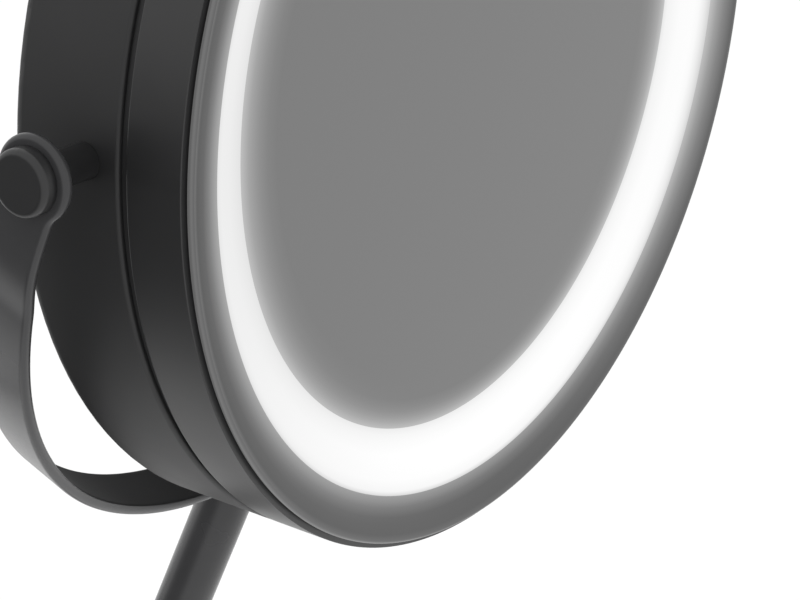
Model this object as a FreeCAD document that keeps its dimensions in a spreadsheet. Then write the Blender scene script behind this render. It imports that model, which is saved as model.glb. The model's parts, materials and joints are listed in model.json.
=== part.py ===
import FreeCAD, Part
import math
import os

from FreeCAD import Placement, Rotation, Vector
import Sketcher

# Extendable shaving mirror, in millimetres.
# The origin is the centre of the wall plate's back face. +Z is up, the wall is the plane Y = 0 and the
# mirror looks towards -Y. A wall bracket carries two swinging arms, a swivel knuckle, a leaning stem with
# a flat fork, and between the fork's ends the round lit mirror head.

SIZES = {
    # wall plate, cover and bracket
    "plate_radius": 39.0,
    "plate_thick": 5.0,
    "wall_hole_radius": 2.25,
    "wall_hole_circle": 60.0,
    "cover_radius": 41.5,
    "cover_depth": 25.0,
    "cover_wall": 2.2,
    "cover_edge_round": 2.5,
    "cover_fit": 0.2,
    "cover_wall_gap": 0.3,
    "neck_gap": 0.4,
    "plate_chamfer": 0.6,
    "grub_radius": 1.25,
    "grub_length": 5.0,
    "grub_depth": 4.0,
    "bracket_screw_radius": 2.0,
    "bracket_screw_head": 3.6,
    "bracket_screw_head_thick": 2.4,
    "bracket_screw_bite": 4.0,
    "neck_radius": 8.0,
    "flange_radius": 22.0,
    "flange_thick": 4.0,
    "bracket_screw_offset": 15.5,
    "wall_hinge_reach": 46.0,
    # hinge barrels and their bolts
    "barrel_radius": 11.0,
    "barrel_height": 20.0,
    "barrel_chamfer": 0.8,
    "hinge_washer_thick": 0.6,
    "bolt_radius": 4.0,
    "bolt_head_radius": 6.2,
    "bolt_head_thick": 4.4,
    "head_bore_radius": 6.6,
    "head_bore_depth": 6.0,
    "nut_bore_radius": 6.9,
    "nut_bore_depth": 7.0,
    "nut_flats": 11.0,
    "nut_thick": 4.5,
    "hex_key_flats": 5.0,
    "hex_key_depth": 2.6,
    "cap_thick": 1.2,
    "cap_edge_round": 0.4,
    "washer_inset": 1.0,
    "washer_gap": 0.03,
    "running_gap": 0.05,
    "body_gap": 0.15,
    # arms
    "arm_length": 200.0,
    "arm_angle": 45.0,
    "tube_radius": 6.6,
    "tube_wall": 1.5,
    "spigot_length": 14.0,
    # knuckle and stem
    "ear_inner": 4.3,
    "ear_outer": 8.4,
    "ear_round": 7.0,
    "tilt_height": 12.0,
    "ear_overlap": 1.0,
    "tilt_bolt_radius": 3.0,
    "tilt_head_radius": 5.6,
    "tilt_head_thick": 2.8,
    "tilt_head_round": 0.8,
    "tilt_key_flats": 4.0,
    "tilt_key_depth": 1.8,
    "tilt_nut_flats": 9.5,
    "tilt_nut_thick": 4.0,
    "tilt_bolt_end": 4.2,
    "tilt_washer_radius": 6.5,
    "eye_radius": 8.0,
    "eye_thick": 7.0,
    "eye_neck": 6.0,
    "stem_lean": 24.3,
    "stem_length": 225.0,
    "stem_shoulder": 9.5,
    "shoulder_thick": 5.5,
    # fork
    "fork_radius": 118.2,
    "fork_thick": 2.5,
    "fork_width": 13.2,
    "fork_edge_round": 1.1,
    "fork_end_radius": 8.5,
    "fork_seat_gap": 0.02,
    # mirror head, with heights measured from the tilt axis towards the viewer
    "mirror_droop": 3.27,
    "drum_radius": 106.0,
    "lip_radius": 94.7,
    "lip_height": 22.1,
    "bezel_radius": 104.7,
    "bezel_crest": 24.45,
    "bezel_underside": 23.6,
    "bezel_edge_round": 0.6,
    "bezel_skirt": 102.6,
    "bezel_base": 17.2,
    "band_top": 22.95,
    "band_edge_round": 0.5,
    "band_base": 9.3,
    "band_inner": 103.0,
    "band_flange_inner": 97.2,
    "band_flange_thick": 2.0,
    "shell_top": 8.0,
    "shell_back": 18.0,
    "shell_wall": 2.2,
    "shell_edge_round": 2.5,
    "groove_depth": 1.2,
    "groove_edge_round": 0.9,
    "glass_radius": 81.2,
    "glass_face": 16.9,
    "glass_thick": 4.0,
    "tape_thick": 0.3,
    "glass_chamfer": 0.4,
    "tape_inner": 60.0,
    "light_inner": 81.5,
    "light_outer": 96.8,
    "light_edge": 94.65,
    "light_rise": 5.15,
    "light_thick": 3.0,
    "tray_wall": 1.5,
    "tray_flange_radius": 102.7,
    "channel_inner": 80.2,
    "channel_outer": 97.0,
    "channel_floor": 6.4,
    "led_count": 48.0,
    "led_board_gap": 0.8,
    "led_board_thick": 1.2,
    "chip_length": 3.5,
    "chip_width": 2.8,
    "chip_thick": 0.8,
    "shell_post_circle": 99.5,
    "shell_post_radius": 4.8,
    "shell_screw_radius": 1.5,
    "shell_screw_head": 2.8,
    "shell_screw_head_thick": 2.0,
    "shell_screw_sink": 2.6,
    "joining_overlap": 0.5,
    "through_reach": 1.0,
    # tilt pivots
    "pivot_bolt_radius": 2.0,
    "pivot_head_radius": 6.5,
    "pivot_head_thick": 3.2,
    "pivot_head_round": 1.2,
    "spacer_radius": 3.6,
    "spacer_plug_radius": 2.8,
    "pivot_washer_radius": 6.0,
    "pivot_washer_thick": 0.7,
    "spotface_gap": 0.4,
    "spotface_depth": 0.1,
    "block_inner": 97.4,
    "block_outer": 102.9,
    "block_width": 22.0,
    "block_depth": 16.5,
    "block_rear": -12.0,
    # driver board, battery and switch
    "board_width": 70.0,
    "board_height": 34.0,
    "board_thick": 1.6,
    "board_centre": 60.0,
    "board_back": 9.0,
    "board_hole_inset": 4.0,
    "board_boss_radius": 2.6,
    "board_screw_radius": 1.2,
    "board_screw_head": 2.2,
    "board_screw_head_thick": 1.3,
    "coil_radius": 6.0,
    "coil_height": 6.5,
    "capacitor_radius": 3.2,
    "capacitor_height": 9.0,
    "chip_length": 8.0,
    "chip_width": 6.0,
    "chip_thick": 1.4,
    "charger_length": 11.0,
    "charger_width": 14.0,
    "charger_thick": 4.0,
    "board_screw_bite": 3.5,
    "pilot_depth": 4.5,
    "cell_radius": 9.15,
    "cell_length": 65.0,
    "cell_pitch": 19.6,
    "battery_centre": 22.0,
    "button_radius": 6.0,
    "button_centre": 52.0,
    "button_proud": 0.8,
    "button_gap": 0.3,
    "button_flange": 1.5,
    "button_flange_thick": 0.9,
    "button_edge_round": 0.5,
    "switch_width": 6.2,
    "switch_thick": 4.9,
    "socket_centre": 68.0,
    "socket_slot_width": 9.6,
    "socket_slot_height": 4.0,
    "socket_width": 9.0,
    "socket_height": 3.4,
    "socket_wall": 0.4,
    "socket_inset": 0.5,
    "socket_depth": 5.6,
    "tongue_width": 6.6,
    "tongue_height": 0.7,
    "tongue_length": 5.2,
    "holder_height": 16.0,
    "holder_floor": 1.5,
    "holder_end": 3.0,
    "holder_side": 1.5,
    "cell_clearance": 0.3,
    "stack_gap": 0.1,
}


class Size:
    """A length or an angle: its value now, and the expression that gives it from the sheet."""

    def __init__(self, text, value):
        self.text = text
        self.value = value

    def __add__(self, other):
        other = as_size(other)
        return Size(f"({self.text} + {other.text})", self.value + other.value)

    def __sub__(self, other):
        other = as_size(other)
        return Size(f"({self.text} - {other.text})", self.value - other.value)

    def __mul__(self, factor):
        return Size(f"({self.text} * {factor})", self.value * factor)

    def __neg__(self):
        return self * -1


def as_size(number):
    return number if isinstance(number, Size) else Size(repr(float(number)), float(number))


def size(name):
    return Size(f"Sizes.{name}", SIZES[name])


doc = FreeCAD.newDocument("ShavingMirror")
sheet = doc.addObject("Spreadsheet::Sheet", "Sizes")
for row, (alias, number) in enumerate(SIZES.items(), start=1):
    sheet.set(f"A{row}", alias)
    sheet.set(f"B{row}", str(number))
    sheet.setAlias(f"B{row}", alias)
doc.recompute()

sub_parts = []
ZERO = as_size(0)


# ---------------------------------------------------------------- modelling helpers


def new_body(label, place):
    body = doc.addObject("PartDesign::Body", label)
    body.Label = label
    body.Placement = place
    sub_parts.append(body)
    return body


def bind(feature, name, amount):
    """Sets a property of a feature and ties it to the sheet."""
    amount = as_size(amount)
    setattr(feature, name, amount.value)
    feature.setExpression(name, amount.text)


def new_sketch(body, plane, offset=None):
    """A sketch on one of the body's origin planes, moved along the plane's normal by offset."""
    sketch = body.newObject("Sketcher::SketchObject", "Sketch")
    support = next(item for item in body.Origin.OriginFeatures if item.Role == plane)
    sketch.AttachmentSupport = [(support, "")]
    sketch.MapMode = "FlatFace"
    if offset is not None:
        offset = as_size(offset)
        sketch.AttachmentOffset = Placement(Vector(0, 0, offset.value), Rotation())
        sketch.setExpression("AttachmentOffset.Base.z", offset.text)
    return sketch


def pin_point(sketch, item, vertex, point):
    """Fixes one vertex of a sketch at a place given from the sketch's origin."""
    for kind, axis, amount in (("DistanceX", -2, point[0]), ("DistanceY", -1, point[1])):
        amount = as_size(amount)
        if abs(amount.value) < 1e-9:
            sketch.addConstraint(Sketcher.Constraint("PointOnObject", item, vertex, axis))
            continue
        rule = sketch.addConstraint(Sketcher.Constraint(kind, -1, 1, item, vertex, amount.value))
        sketch.setExpression(f"Constraints[{rule}]", amount.text)


def draw_outline(sketch, points):
    """A closed outline of straight lines through points."""
    corners = [Vector(as_size(x).value, as_size(y).value, 0) for x, y in points]
    lines = []
    for start, end in zip(corners, corners[1:] + corners[:1]):
        lines.append(sketch.addGeometry(Part.LineSegment(start, end)))
    for line, following in zip(lines, lines[1:] + lines[:1]):
        sketch.addConstraint(Sketcher.Constraint("Coincident", line, 2, following, 1))
    for line, point in zip(lines, points):
        pin_point(sketch, line, 1, point)


def draw_circle(sketch, radius, centre=(ZERO, ZERO)):
    radius = as_size(radius)
    x, y = as_size(centre[0]), as_size(centre[1])
    item = sketch.addGeometry(Part.Circle(Vector(x.value, y.value, 0), Vector(0, 0, 1), radius.value))
    rule = sketch.addConstraint(Sketcher.Constraint("Radius", item, radius.value))
    sketch.setExpression(f"Constraints[{rule}]", radius.text)
    pin_point(sketch, item, 3, (x, y))


def draw_box(sketch, width, height, centre=(ZERO, ZERO)):
    x, y = as_size(centre[0]), as_size(centre[1])
    half_x, half_y = as_size(width) * 0.5, as_size(height) * 0.5
    corners = [(x - half_x, y - half_y), (x + half_x, y - half_y)]
    corners += [(x + half_x, y + half_y), (x - half_x, y + half_y)]
    draw_outline(sketch, corners)


def pad(body, sketch, length, both_ways=False, backwards=False):
    feature = body.newObject("PartDesign::Pad", "Pad")
    feature.Profile = sketch
    bind(feature, "Length", length)
    feature.Midplane = both_ways
    feature.Reversed = backwards
    doc.recompute()
    return feature


def cut(body, sketch, length=None, backwards=False):
    """A pocket of a given length, or one that goes right through both ways. It has to remove metal."""
    before = body.Shape.Volume
    feature = body.newObject("PartDesign::Pocket", "Pocket")
    feature.Profile = sketch
    if length is None:
        feature.Type = "ThroughAll"
        feature.Midplane = True
    else:
        bind(feature, "Length", length)
    feature.Reversed = backwards
    doc.recompute()
    if body.Shape.Volume > before - 1e-3:
        raise RuntimeError(f"a pocket of {body.Label} removes nothing")
    return feature


def turn(body, sketch, angle=360.0, axis="V_Axis"):
    feature = body.newObject("PartDesign::Revolution", "Revolution")
    feature.Profile = sketch
    feature.ReferenceAxis = (sketch, [axis])
    feature.Angle = angle
    doc.recompute()
    return feature


def repeat_round(body, feature, count):
    """Repeats a feature about the body's Z axis."""
    pattern = body.newObject("PartDesign::PolarPattern", "Pattern")
    pattern.Originals = [feature]
    axis = next(item for item in body.Origin.OriginFeatures if item.Role == "Z_Axis")
    pattern.Axis = (axis, [""])
    pattern.Angle = 360.0
    pattern.Occurrences = count
    body.Tip = pattern
    doc.recompute()
    return pattern


def round_edges(body, radius, wanted, chamfer=False):
    """Rounds or chamfers the edges of the body's newest feature that wanted(edge) picks."""
    base = body.Tip
    names = [f"Edge{i}" for i, edge in enumerate(base.Shape.Edges, start=1) if wanted(edge)]
    if not names:
        raise RuntimeError(f"{body.Label} has no edge to round")
    kind = "Chamfer" if chamfer else "Fillet"
    feature = body.newObject(f"PartDesign::{kind}", kind)
    feature.Base = (base, names)
    bind(feature, "Size" if chamfer else "Radius", radius)
    doc.recompute()
    return feature


def ring_edge(radius, height=None):
    """Picks circular edges about Z of one radius, and at one height if it is given."""
    target = as_size(radius).value
    level = None if height is None else as_size(height).value

    def wanted(edge):
        if not isinstance(edge.Curve, Part.Circle) or abs(edge.Curve.Radius - target) > 1e-4:
            return False
        return level is None or abs(edge.Curve.Center.z - level) < 1e-4

    return wanted


def turned_body(label, place, points):
    """A body turned about its Z axis, from (radius, height) points."""
    body = new_body(label, place)
    sketch = new_sketch(body, "XZ_Plane")
    draw_outline(sketch, points)
    turn(body, sketch)
    return body


def plain_ring(label, place, outer, inner, low, high):
    return turned_body(label, place, [(inner, low), (outer, low), (outer, high), (inner, high)])


def plain_disc(label, place, radius, low, high):
    return turned_body(label, place, [(ZERO, low), (radius, low), (radius, high), (ZERO, high)])


def group(label, members):
    """One node for several separate solids."""
    compound = doc.addObject("Part::Compound", label)
    compound.Label = label
    compound.Links = members
    sub_parts.append(compound)


def loose_solid(kind, place, **amounts):
    """A primitive that goes into a group, with its sizes tied to the sheet."""
    solid = doc.addObject(f"Part::{kind}", kind)
    for name, amount in amounts.items():
        bind(solid, name, amount)
    solid.Placement = place
    return solid


# ---------------------------------------------------------------- places

WALL_AXIS = Vector(0, -SIZES["wall_hinge_reach"], 0)
FIRST_SEAT = SIZES["barrel_height"] / 2
STACK_STEP = SIZES["barrel_height"] + SIZES["hinge_washer_thick"]
ARM_ANGLE = math.radians(SIZES["arm_angle"])
ELBOW_AXIS = WALL_AXIS + Vector(-math.sin(ARM_ANGLE), -math.cos(ARM_ANGLE), 0) * SIZES["arm_length"]
END_AXIS = ELBOW_AXIS + Vector(math.sin(ARM_ANGLE), -math.cos(ARM_ANGLE), 0) * SIZES["arm_length"]
KNUCKLE_TOP = FIRST_SEAT + 3 * STACK_STEP
TILT_POINT = END_AXIS + Vector(0, 0, KNUCKLE_TOP + SIZES["tilt_height"])
STEM_TURN = Rotation(Vector(1, 0, 0), SIZES["stem_lean"])
HEAD_POINT = TILT_POINT + STEM_TURN.multVec(Vector(0, 0, SIZES["stem_length"]))
HEAD_TURN = Rotation(Vector(1, 0, 0), 90 + SIZES["mirror_droop"])

WALL = Placement(Vector(0, 0, 0), Rotation(Vector(1, 0, 0), 90))
STEM = Placement(HEAD_POINT, STEM_TURN)
HEAD = Placement(HEAD_POINT, HEAD_TURN)


def hinge_place(axis, seat_number):
    """The seat between two stacked barrels: the top of the lower one."""
    return Placement(axis + Vector(0, 0, FIRST_SEAT + (seat_number - 1) * STACK_STEP), Rotation())


def arm_place(axis, seat_number, direction):
    height = seat_number * STACK_STEP
    return Placement(axis + Vector(0, 0, height), Rotation(Vector(0, 0, 1), direction))


# ---------------------------------------------------------------- hinge barrels


def bore_barrel(body, low, bolt_gap, from_below, x=ZERO):
    """Bores a vertical barrel whose lower face is at low, with a counterbore for the nut or the head."""
    sketch = new_sketch(body, "XY_Plane")
    draw_circle(sketch, size("bolt_radius") + bolt_gap, (x, ZERO))
    cut(body, sketch)
    if from_below:
        sketch = new_sketch(body, "XY_Plane", low)
        draw_circle(sketch, size("nut_bore_radius"), (x, ZERO))
        cut(body, sketch, size("nut_bore_depth"), backwards=True)
    else:
        sketch = new_sketch(body, "XY_Plane", low + size("barrel_height"))
        draw_circle(sketch, size("head_bore_radius"), (x, ZERO))
        cut(body, sketch, size("head_bore_depth"))


def arm_barrel(label, place, outwards, lower_in_hinge):
    """A barrel with a spigot that goes into its arm tube. Its centre is the middle of the barrel."""
    body = new_body(label, place)
    sketch = new_sketch(body, "XY_Plane")
    draw_circle(sketch, size("barrel_radius"))
    pad(body, sketch, size("barrel_height"), both_ways=True)
    round_edges(body, size("barrel_chamfer"), ring_edge(size("barrel_radius")), chamfer=True)
    sketch = new_sketch(body, "YZ_Plane")
    draw_circle(sketch, size("tube_radius") - size("tube_wall") - size("running_gap"))
    reach = size("barrel_radius") + size("spigot_length")
    pad(body, sketch, reach, backwards=not outwards)
    low = size("barrel_height") * -0.5
    gap = ZERO if lower_in_hinge else size("running_gap")
    bore_barrel(body, low, gap, lower_in_hinge)
    return body


def arm(prefix, place):
    """An arm: a tube between two barrels. The first turns on the hinge below, the second carries the next."""
    far = place.multiply(Placement(Vector(SIZES["arm_length"], 0, 0), Rotation()))
    arm_barrel(f"{prefix}_inner_barrel", place, True, False)
    arm_barrel(f"{prefix}_outer_barrel", far, False, True)
    tube = new_body(f"{prefix}_tube", place)
    sketch = new_sketch(tube, "YZ_Plane")
    draw_circle(sketch, size("tube_radius"))
    draw_circle(sketch, size("tube_radius") - size("tube_wall"))
    pad(tube, sketch, size("arm_length"))
    for x in (ZERO, size("arm_length")):
        sketch = new_sketch(tube, "XY_Plane")
        draw_circle(sketch, size("barrel_radius") + size("running_gap"), (x, ZERO))
        cut(tube, sketch)


def hexagon(sketch, flats):
    """A hexagon across flats, with two corners on the sketch's X axis."""
    corner = as_size(flats) * (1 / math.sqrt(3))
    points = []
    for step in range(6):
        angle = math.radians(60 * step)
        points.append((corner * round(math.cos(angle), 6), corner * round(math.sin(angle), 6)))
    draw_outline(sketch, points)


def hinge_hardware(prefix, seat):
    """The bolt, nut, washer and caps of a vertical hinge. Heights are measured from the seat."""
    head_low = size("hinge_washer_thick") + size("barrel_height") - size("head_bore_depth")
    head_low = head_low + size("running_gap")
    nut_high = size("nut_bore_depth") - size("barrel_height")
    nut_low = nut_high - size("nut_thick")
    head_high = head_low + size("bolt_head_thick")
    bolt = turned_body(
        f"{prefix}_bolt",
        seat,
        [
            (ZERO, nut_low),
            (size("bolt_radius"), nut_low),
            (size("bolt_radius"), head_low),
            (size("bolt_head_radius"), head_low),
            (size("bolt_head_radius"), head_high),
            (ZERO, head_high),
        ],
    )
    sketch = new_sketch(bolt, "XY_Plane", head_high)
    hexagon(sketch, size("hex_key_flats"))
    cut(bolt, sketch, size("hex_key_depth"))

    nut = new_body(f"{prefix}_nut", seat)
    sketch = new_sketch(nut, "XY_Plane", nut_low)
    hexagon(sketch, size("nut_flats"))
    draw_circle(sketch, size("bolt_radius"))
    pad(nut, sketch, size("nut_thick"))

    washer_hole = size("bolt_radius") + size("running_gap") * 2
    washer_top = size("hinge_washer_thick") - size("washer_gap")
    rim = size("barrel_radius") - size("washer_inset")
    plain_ring(f"{prefix}_washer", seat, rim, washer_hole, ZERO, washer_top)

    low = size("barrel_height") * -1
    plug = size("nut_bore_radius") - size("running_gap")
    plain_disc(f"{prefix}_bottom_cap", seat, plug, low, low + size("cap_thick"))
    high = size("hinge_washer_thick") + size("barrel_height")
    plug = size("head_bore_radius") - size("running_gap")
    cap = plain_disc(f"{prefix}_cap", seat, plug, high - size("cap_thick"), high)
    round_edges(cap, size("cap_edge_round"), ring_edge(plug, high))


# ---------------------------------------------------------------- wall bracket

# These are turned about the bracket's own axis, which runs from the wall towards the mirror.

screw_x = size("wall_hole_circle") * (0.5 * math.sqrt(0.5))

wall_plate = plain_disc("wall_plate", WALL, size("plate_radius"), ZERO, size("plate_thick"))
plate_edge = ring_edge(size("plate_radius"), size("plate_thick"))
round_edges(wall_plate, size("plate_chamfer"), plate_edge, chamfer=True)
sketch = new_sketch(wall_plate, "XY_Plane")
draw_circle(sketch, size("wall_hole_radius"), (screw_x, screw_x))
wall_hole = cut(wall_plate, sketch)
repeat_round(wall_plate, wall_hole, 4)
sketch = new_sketch(wall_plate, "XY_Plane")
for side in (-1, 1):
    draw_circle(sketch, size("bracket_screw_radius"), (ZERO, size("bracket_screw_offset") * side))
cut(wall_plate, sketch)
sketch = new_sketch(wall_plate, "XZ_Plane", size("plate_radius") - size("grub_depth"))
draw_circle(sketch, size("grub_radius"), (ZERO, size("plate_thick") * 0.5))
cut(wall_plate, sketch, size("grub_length"), backwards=True)

cover_inner = size("plate_radius") + size("cover_fit")
cover_hole = size("neck_radius") + size("neck_gap")
cover_inside = size("cover_depth") - size("cover_wall")
wall_cover = turned_body(
    "wall_cover",
    WALL,
    [
        (cover_inner, size("cover_wall_gap")),
        (size("cover_radius"), size("cover_wall_gap")),
        (size("cover_radius"), size("cover_depth")),
        (cover_hole, size("cover_depth")),
        (cover_hole, cover_inside),
        (cover_inner, cover_inside),
    ],
)
round_edges(wall_cover, size("cover_edge_round"), ring_edge(size("cover_radius"), size("cover_depth")))
sketch = new_sketch(wall_cover, "XZ_Plane", size("plate_radius"))
draw_circle(sketch, size("grub_radius") + size("running_gap"), (ZERO, size("plate_thick") * 0.5))
cut(wall_cover, sketch, size("grub_length"), backwards=True)

grub = new_body("cover_grub_screw", WALL)
sketch = new_sketch(grub, "XZ_Plane", size("plate_radius") - size("grub_depth") + size("through_reach"))
draw_circle(sketch, size("grub_radius"), (ZERO, size("plate_thick") * 0.5))
pad(grub, sketch, size("grub_length"))

wall_bracket = turned_body(
    "wall_bracket",
    WALL,
    [
        (ZERO, size("plate_thick")),
        (size("flange_radius"), size("plate_thick")),
        (size("flange_radius"), size("plate_thick") + size("flange_thick")),
        (size("neck_radius"), size("plate_thick") + size("flange_thick")),
        (size("neck_radius"), size("wall_hinge_reach")),
        (ZERO, size("wall_hinge_reach")),
    ],
)
sketch = new_sketch(wall_bracket, "XZ_Plane")
draw_circle(sketch, size("barrel_radius"), (ZERO, size("wall_hinge_reach")))
pad(wall_bracket, sketch, size("barrel_height"), both_ways=True)
sketch = new_sketch(wall_bracket, "XZ_Plane")
draw_circle(sketch, size("bolt_radius"), (ZERO, size("wall_hinge_reach")))
cut(wall_bracket, sketch)
sketch = new_sketch(wall_bracket, "XZ_Plane", size("barrel_height") * 0.5)
draw_circle(sketch, size("nut_bore_radius"), (ZERO, size("wall_hinge_reach")))
cut(wall_bracket, sketch, size("nut_bore_depth"))
sketch = new_sketch(wall_bracket, "XY_Plane", size("plate_thick"))
for side in (-1, 1):
    hole = size("bracket_screw_radius") + size("running_gap") * 2
    draw_circle(sketch, hole, (ZERO, size("bracket_screw_offset") * side))
cut(wall_bracket, sketch, size("flange_thick") + size("through_reach"), backwards=True)


def round_screw(place, shank_radius, shank_length, head_radius, head_thick):
    """A pan-head screw: its head stands on Z = 0 and its shank hangs below."""
    shank = loose_solid(
        "Cylinder",
        place.multiply(Placement(Vector(0, 0, -as_size(shank_length).value), Rotation())),
        Radius=shank_radius,
        Height=shank_length,
    )
    head = loose_solid("Cylinder", place, Radius=head_radius, Height=head_thick)
    screw = doc.addObject("Part::MultiFuse", "Screw")
    screw.Shapes = [shank, head]
    return screw


screws = []
for side in (-1, 1):
    spot = Vector(0, side * SIZES["bracket_screw_offset"], SIZES["plate_thick"] + SIZES["flange_thick"])
    place = WALL.multiply(Placement(spot, Rotation()))
    screws.append(
        round_screw(
            place,
            size("bracket_screw_radius"),
            size("flange_thick") + size("bracket_screw_bite"),
            size("bracket_screw_head"),
            size("bracket_screw_head_thick"),
        )
    )
group("bracket_screws", screws)

# ---------------------------------------------------------------- hinges and arms

hinge_hardware("wall_hinge", hinge_place(WALL_AXIS, 1))
arm("lower_arm", arm_place(WALL_AXIS, 1, 270 - SIZES["arm_angle"]))
hinge_hardware("elbow", hinge_place(ELBOW_AXIS, 2))
arm("upper_arm", arm_place(ELBOW_AXIS, 2, 270 + SIZES["arm_angle"]))
hinge_hardware("end_hinge", hinge_place(END_AXIS, 3))

# ---------------------------------------------------------------- swivel knuckle

# Its origin is the middle of its barrel, and its two ears hold the stem's eye.

knuckle = new_body("swivel_knuckle", Placement(END_AXIS + Vector(0, 0, 3 * STACK_STEP), Rotation()))
sketch = new_sketch(knuckle, "XY_Plane")
draw_circle(sketch, size("barrel_radius"))
pad(knuckle, sketch, size("barrel_height"), both_ways=True)
lower_rim = ring_edge(size("barrel_radius"), size("barrel_height") * -0.5)
round_edges(knuckle, size("barrel_chamfer"), lower_rim, chamfer=True)
barrel_top = size("barrel_height") * 0.5
tilt_level = barrel_top + size("tilt_height")
ear_thick = size("ear_outer") - size("ear_inner")
for side in (-1, 1):
    offset = size("ear_inner") if side > 0 else -size("ear_outer")
    sketch = new_sketch(knuckle, "YZ_Plane", offset)
    draw_outline(
        sketch,
        [
            (-size("ear_round"), barrel_top - size("ear_overlap")),
            (size("ear_round"), barrel_top - size("ear_overlap")),
            (size("ear_round"), tilt_level),
            (-size("ear_round"), tilt_level),
        ],
    )
    pad(knuckle, sketch, ear_thick)
    sketch = new_sketch(knuckle, "YZ_Plane", offset)
    draw_circle(sketch, size("ear_round"), (ZERO, tilt_level))
    pad(knuckle, sketch, ear_thick)
bore_barrel(knuckle, -barrel_top, size("running_gap"), False)
sketch = new_sketch(knuckle, "YZ_Plane")
draw_circle(sketch, size("tilt_bolt_radius"), (ZERO, tilt_level))
cut(knuckle, sketch)

tilt_place = Placement(TILT_POINT, Rotation(Vector(0, 1, 0), 90))
tilt_end = -size("ear_outer") - size("tilt_bolt_end")
tilt_head_top = size("ear_outer") + size("tilt_head_thick")
tilt_bolt = turned_body(
    "tilt_bolt",
    tilt_place,
    [
        (ZERO, tilt_end),
        (size("tilt_bolt_radius"), tilt_end),
        (size("tilt_bolt_radius"), size("ear_outer")),
        (size("tilt_head_radius"), size("ear_outer")),
        (size("tilt_head_radius"), tilt_head_top),
        (ZERO, tilt_head_top),
    ],
)
round_edges(tilt_bolt, size("tilt_head_round"), ring_edge(size("tilt_head_radius"), tilt_head_top))
sketch = new_sketch(tilt_bolt, "XY_Plane", tilt_head_top)
hexagon(sketch, size("tilt_key_flats"))
cut(tilt_bolt, sketch, size("tilt_key_depth"))
tilt_nut = new_body("tilt_nut", tilt_place)
sketch = new_sketch(tilt_nut, "XY_Plane", -size("ear_outer"))
hexagon(sketch, size("tilt_nut_flats"))
draw_circle(sketch, size("tilt_bolt_radius"))
pad(tilt_nut, sketch, size("tilt_nut_thick"), backwards=True)
washer_stock = size("ear_inner") - size("eye_thick") * 0.5 - size("body_gap")
tilt_washers = []
for side in (-1, 1):
    washer = doc.addObject("Part::Cut", "Washer")
    start = SIZES["ear_inner"] - washer_stock.value if side > 0 else -SIZES["ear_inner"]
    place = tilt_place.multiply(Placement(Vector(0, 0, start), Rotation()))
    washer.Base = loose_solid(
        "Cylinder", place, Radius=size("tilt_washer_radius"), Height=washer_stock
    )
    washer.Tool = loose_solid(
        "Cylinder", place, Radius=size("tilt_bolt_radius") + size("running_gap"), Height=washer_stock
    )
    tilt_washers.append(washer)
group("tilt_washers", tilt_washers)

# ---------------------------------------------------------------- stem and fork

# Their origin is on the head's tilt axis, and -Z runs down the stem.

eye_level = -size("stem_length")
shoulder_low = eye_level + size("stem_shoulder")
tube_low = shoulder_low + size("shoulder_thick")
stem_eye = new_body("stem_eye", STEM)
sketch = new_sketch(stem_eye, "YZ_Plane")
draw_circle(sketch, size("eye_radius"), (ZERO, eye_level))
pad(stem_eye, sketch, size("eye_thick"), both_ways=True)
sketch = new_sketch(stem_eye, "YZ_Plane")
draw_outline(
    sketch,
    [
        (-size("eye_neck"), eye_level),
        (size("eye_neck"), eye_level),
        (size("eye_neck"), shoulder_low + size("ear_overlap")),
        (-size("eye_neck"), shoulder_low + size("ear_overlap")),
    ],
)
pad(stem_eye, sketch, size("eye_thick"), both_ways=True)
sketch = new_sketch(stem_eye, "XY_Plane", shoulder_low)
draw_circle(sketch, size("tube_radius"))
pad(stem_eye, sketch, size("shoulder_thick"))
sketch = new_sketch(stem_eye, "XY_Plane", tube_low)
draw_circle(sketch, size("tube_radius") - size("tube_wall") - size("running_gap"))
pad(stem_eye, sketch, size("spigot_length"))
sketch = new_sketch(stem_eye, "YZ_Plane")
draw_circle(sketch, size("tilt_bolt_radius") + size("running_gap"), (ZERO, eye_level))
cut(stem_eye, sketch)

fork_outer = size("fork_radius") + size("fork_thick")
stem_tube = new_body("stem_tube", STEM)
sketch = new_sketch(stem_tube, "XY_Plane", tube_low)
draw_circle(sketch, size("tube_radius"))
draw_circle(sketch, size("tube_radius") - size("tube_wall"))
pad(stem_tube, sketch, size("stem_length") - size("fork_radius"))
sketch = new_sketch(stem_tube, "XZ_Plane")
draw_circle(sketch, fork_outer + size("fork_seat_gap"))
cut(stem_tube, sketch)

fork_band = new_body("fork_band", STEM)
sketch = new_sketch(fork_band, "XY_Plane")
draw_box(sketch, size("fork_thick"), size("fork_width"), (size("fork_radius") + size("fork_thick") * 0.5, ZERO))
turn(fork_band, sketch, 180.0)
round_edges(
    fork_band,
    size("fork_edge_round"),
    lambda edge: isinstance(edge.Curve, Part.Circle) and edge.Length > 100,
)
for side in (-1, 1):
    offset = size("fork_radius") if side > 0 else -fork_outer
    sketch = new_sketch(fork_band, "YZ_Plane", offset)
    draw_circle(sketch, size("fork_end_radius"))
    pad(fork_band, sketch, size("fork_thick"))
for towards_left in (False, True):
    sketch = new_sketch(fork_band, "YZ_Plane")
    draw_circle(sketch, size("pivot_washer_radius") + size("spotface_gap"))
    cut(fork_band, sketch, size("fork_radius") + size("spotface_depth"), backwards=towards_left)
sketch = new_sketch(fork_band, "YZ_Plane")
draw_circle(sketch, size("pivot_bolt_radius") + size("running_gap"))
cut(fork_band, sketch)

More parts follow.
